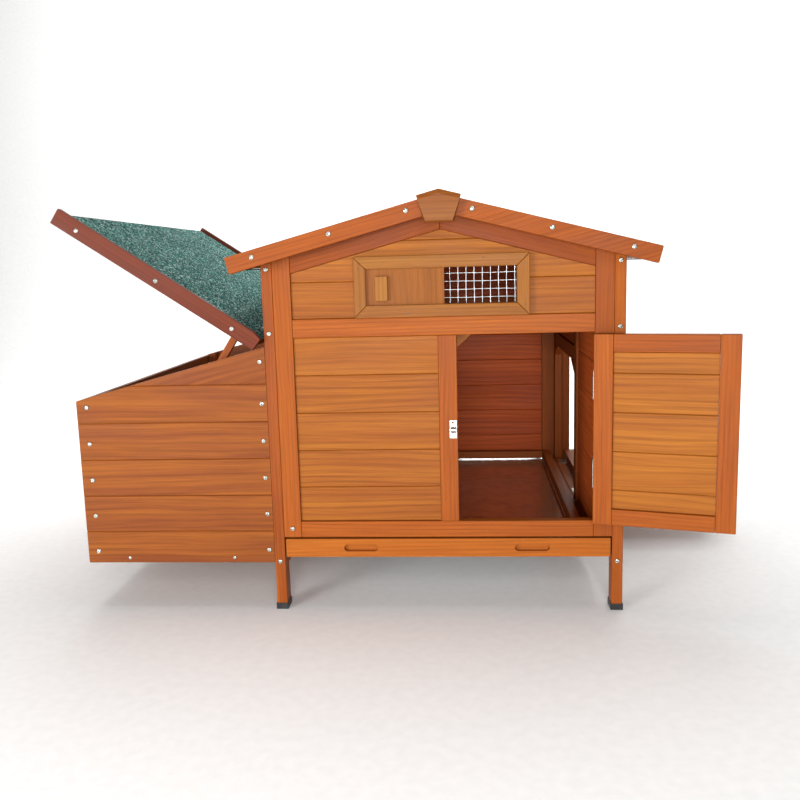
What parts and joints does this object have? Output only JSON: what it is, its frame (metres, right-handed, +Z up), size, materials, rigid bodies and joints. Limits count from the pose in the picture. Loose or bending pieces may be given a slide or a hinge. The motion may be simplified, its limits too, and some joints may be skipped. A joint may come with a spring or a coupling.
{
  "type": "small animal hutch with nest box",
  "caption": "Framed and planked timber hutch on legs with a felted gable roof, lidded side nest box, inset front door, sliding window shutter, pull-out tray and side pop door",
  "frame": {"origin": "centre of the bounding box in plan, on the floor under the foot caps", "axes": "+X to the right of the front, +Y from the front to the back, +Z up"},
  "size_m": [1.1852, 0.9042, 0.6919],
  "materials": {
    "fir_frame": "orange-brown stained fir battens, satin",
    "fir_planks": "orange-brown stained fir planks, satin",
    "honey_wood": "lighter honey stained pine",
    "plywood": "stained plywood",
    "green_felt": "green mineral roofing felt, rough grains",
    "zinc": "zinc plated steel",
    "galvanised_wire": "galvanised welded wire",
    "galvanised_sheet": "galvanised sheet, bright",
    "black_plastic": "moulded black plastic"
  },
  "bodies": {
    "house": {"front_posts": "fir_frame", "rear_posts": "fir_frame", "foot_caps": "black_plastic", "front_stiles": "fir_frame", "front_rails": "fir_frame", "centre_stile": "fir_frame", "front_gable_rails": "fir_frame", "front_panel_planks": "fir_planks", "front_gable_planks": "fir_planks", "window_frame": "honey_wood", "window_mesh": "galvanised_wire", "door_stop_block": "plywood", "back_frame": "fir_frame", "back_planks": "fir_planks", "left_wall_frame": "fir_frame", "left_wall_planks": "fir_planks", "right_wall_frame": "fir_frame", "right_wall_planks": "fir_planks", "ridge_beam": "fir_frame", "tray_runners": "fir_frame", "roof_boards": "fir_planks", "roof_felt": "green_felt", "fascia_boards": "fir_frame", "ridge_keystones": "honey_wood", "roof_brackets": "zinc", "nest_front_planks": "fir_planks", "nest_back_planks": "fir_planks", "nest_outer_planks": "fir_planks", "nest_battens": "fir_planks", "nest_floor": "plywood", "nest_divider": "plywood", "door_hinge_jamb_leaves": "zinc", "bolt_keeper": "zinc", "lid_hinge_wall_leaves": "zinc", "pop_hinge_sill_leaves": "zinc", "pop_door_rest": "fir_frame", "frame_screws": "zinc", "nest_screws": "zinc", "button_screw": "zinc"},
    "front_door": {"door_frame": "fir_frame", "door_planks": "fir_planks", "door_hinge_door_leaves": "zinc", "bolt_plate": "zinc"},
    "door_bolt": {"bolt_rod": "zinc"},
    "nest_lid": {"lid_boards": "fir_planks", "lid_felt": "green_felt", "lid_end_boards": "fir_frame", "lid_battens": "fir_planks", "lid_hinge_lid_leaves": "zinc", "lid_screws": "zinc"},
    "prop": {"lid_prop": "fir_frame"},
    "shutter": {"shutter_panel": "plywood", "shutter_handle": "honey_wood"},
    "tray": {"tray_front": "fir_frame", "tray_sides": "fir_frame", "tray_pan": "galvanised_sheet"},
    "pop_door": {"pop_door_frame": "fir_frame", "pop_door_planks": "fir_planks", "pop_hinge_door_leaves": "zinc"},
    "button": {"turn_button": "fir_frame"}
  },
  "joints": [
    {"name": "front_door_hinge", "type": "hinge", "parent": "house", "child": "front_door", "pos_m": [0.28022, -0.3719, 0.3105], "axis": [0, 0, 1], "range_deg": [-164, 10]},
    {"name": "door_bolt_slide", "type": "slide", "parent": "front_door", "child": "door_bolt", "axis": [0.9613, -0.2756, 0], "range_m": [0, 0.015]},
    {"name": "nest_lid_hinge", "type": "hinge", "parent": "house", "child": "nest_lid", "pos_m": [-0.25948, 0.011, 0.46401], "axis": [0, -1, 0], "range_deg": [0, 48.3]},
    {"name": "lid_prop_pivot", "type": "hinge", "parent": "house", "child": "prop", "pos_m": [-0.34948, -0.335, 0.40908], "axis": [0, 1, 0], "range_deg": [0, 100]},
    {"name": "shutter_slide", "type": "slide", "parent": "house", "child": "shutter", "axis": [1, 0, 0], "range_m": [0, 0.12]},
    {"name": "tray_slide", "type": "slide", "parent": "house", "child": "tray", "axis": [0, -1, 0], "range_m": [0, 0.55]},
    {"name": "pop_door_hinge", "type": "hinge", "parent": "house", "child": "pop_door", "pos_m": [0.31362, 0.176, 0.0965], "axis": [0, -1, 0], "range_deg": [0, 90]},
    {"name": "turn_button_pivot", "type": "hinge", "parent": "house", "child": "button", "pos_m": [0.31592, 0.176, 0.39], "axis": [1, 0, 0], "range_deg": [0, 90]}
  ],
  "couplings": [
    {"joint": "lid_prop_pivot", "follows": "nest_lid_hinge", "ratio": 2}
  ]
}
